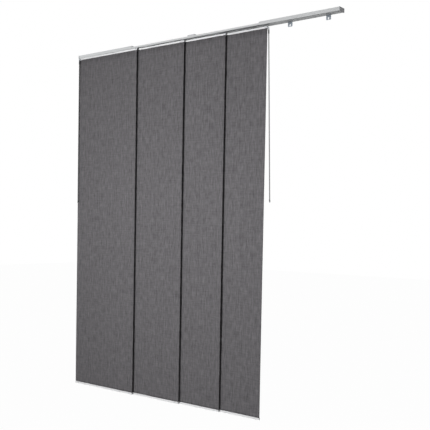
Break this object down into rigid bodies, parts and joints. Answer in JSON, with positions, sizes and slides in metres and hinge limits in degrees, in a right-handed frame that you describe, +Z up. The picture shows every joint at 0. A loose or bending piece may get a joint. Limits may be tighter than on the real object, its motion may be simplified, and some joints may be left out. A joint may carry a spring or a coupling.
{
  "type": "panel track blind",
  "caption": "Sliding panel blind on a telescoping multi-channel wall track, with fabric panels on gliding carriers, weighted bottom bars and hanging wands.",
  "frame": {"origin": "on the wall, at the middle of the first (left-most) bracket's two slots", "axes": "+X along the track to the right as seen from the room, -Y towards the room, +Z up"},
  "size_m": [2.184, 0.0656, 2.4648],
  "materials": {
    "track_metal": "satin anodised",
    "white_metal": "satin white",
    "white_plastic": "moulded white",
    "grey_plastic": "moulded grey",
    "zinc_steel": "zinc plated",
    "panel_fabric": "woven grey",
    "tape": "hook and loop",
    "clear_plastic": "smoked clear",
    "dark_plastic": "moulded dark grey"
  },
  "bodies": {
    "track": {"left_outer_rail": "track_metal", "left_end_cap": "grey_plastic", "left_bracket_1": "zinc_steel", "left_bracket_2": "zinc_steel", "left_bracket_screws": "zinc_steel"},
    "inner_track": {"inner_channel_1": "track_metal", "inner_channel_2": "track_metal", "inner_channel_3": "track_metal", "inner_channel_4": "track_metal", "rail_collar": "track_metal"},
    "right_track": {"right_outer_rail": "track_metal", "right_end_cap": "grey_plastic", "right_bracket_1": "zinc_steel", "right_bracket_2": "zinc_steel", "right_bracket_screws": "zinc_steel"},
    "panel_1": {"panel_1_carrier": "white_metal", "panel_1_left_cap": "grey_plastic", "panel_1_right_cap": "grey_plastic", "panel_1_gliders": "white_plastic", "panel_1_tape": "tape", "panel_1_fabric": "panel_fabric", "panel_1_bottom_bar": "white_metal", "panel_1_bar_plugs": "grey_plastic"},
    "panel_2": {"panel_2_carrier": "white_metal", "panel_2_left_cap": "grey_plastic", "panel_2_right_cap": "grey_plastic", "panel_2_gliders": "white_plastic", "panel_2_tape": "tape", "panel_2_fabric": "panel_fabric", "panel_2_bottom_bar": "white_metal", "panel_2_bar_plugs": "grey_plastic"},
    "panel_3": {"panel_3_carrier": "white_metal", "panel_3_left_cap": "grey_plastic", "panel_3_right_cap": "grey_plastic", "panel_3_gliders": "white_plastic", "panel_3_tape": "tape", "panel_3_fabric": "panel_fabric", "panel_3_bottom_bar": "white_metal", "panel_3_bar_plugs": "grey_plastic"},
    "panel_4": {"panel_4_carrier": "white_metal", "panel_4_left_cap": "grey_plastic", "panel_4_right_cap": "grey_plastic", "panel_4_gliders": "white_plastic", "panel_4_tape": "tape", "panel_4_fabric": "panel_fabric", "panel_4_bottom_bar": "white_metal", "panel_4_bar_plugs": "grey_plastic"},
    "left_ring": {"left_wand_ring": "zinc_steel"},
    "left_wand": {"left_wand_ferrule": "dark_plastic", "left_wand_rod": "clear_plastic", "left_wand_tip": "clear_plastic"},
    "right_ring": {"right_wand_ring": "zinc_steel"},
    "right_wand": {"right_wand_ferrule": "dark_plastic", "right_wand_rod": "clear_plastic", "right_wand_tip": "clear_plastic"}
  },
  "joints": [
    {"name": "inner_telescope", "type": "slide", "parent": "track", "child": "inner_track", "axis": [1, 0, 0], "range_m": [-0.51, 0]},
    {"name": "right_telescope", "type": "slide", "parent": "inner_track", "child": "right_track", "axis": [1, 0, 0], "range_m": [-0.51, 0]},
    {"name": "panel_1_slide", "type": "slide", "parent": "track", "child": "panel_1", "axis": [1, 0, 0], "range_m": [0, 1.581]},
    {"name": "panel_2_slide", "type": "slide", "parent": "track", "child": "panel_2", "axis": [1, 0, 0], "range_m": [-0.4205, 1.1605]},
    {"name": "panel_3_slide", "type": "slide", "parent": "track", "child": "panel_3", "axis": [1, 0, 0], "range_m": [-0.7545, 0.8265]},
    {"name": "panel_4_slide", "type": "slide", "parent": "track", "child": "panel_4", "axis": [1, 0, 0], "range_m": [-1.0655, 0.5155]},
    {"name": "left_wand_forward", "type": "hinge", "parent": "panel_1", "child": "left_ring", "pos_m": [-0.0885, -0.0611, -0.0052], "axis": [-1, 0, 0], "range_deg": [0, 60]},
    {"name": "left_wand_sideways", "type": "hinge", "parent": "left_ring", "child": "left_wand", "pos_m": [-0.0885, -0.0611, -0.0102], "axis": [0, 1, 0], "range_deg": [-60, 60]},
    {"name": "right_wand_sideways", "type": "hinge", "parent": "panel_4", "child": "right_ring", "pos_m": [1.571, -0.0096, -0.0077], "axis": [0, -1, 0], "range_deg": [-1.8, 60]},
    {"name": "right_wand_forward", "type": "hinge", "parent": "right_ring", "child": "right_wand", "pos_m": [1.57116, -0.0096, -0.0127], "axis": [-1, 0, 0], "range_deg": [0, 60]}
  ]
}
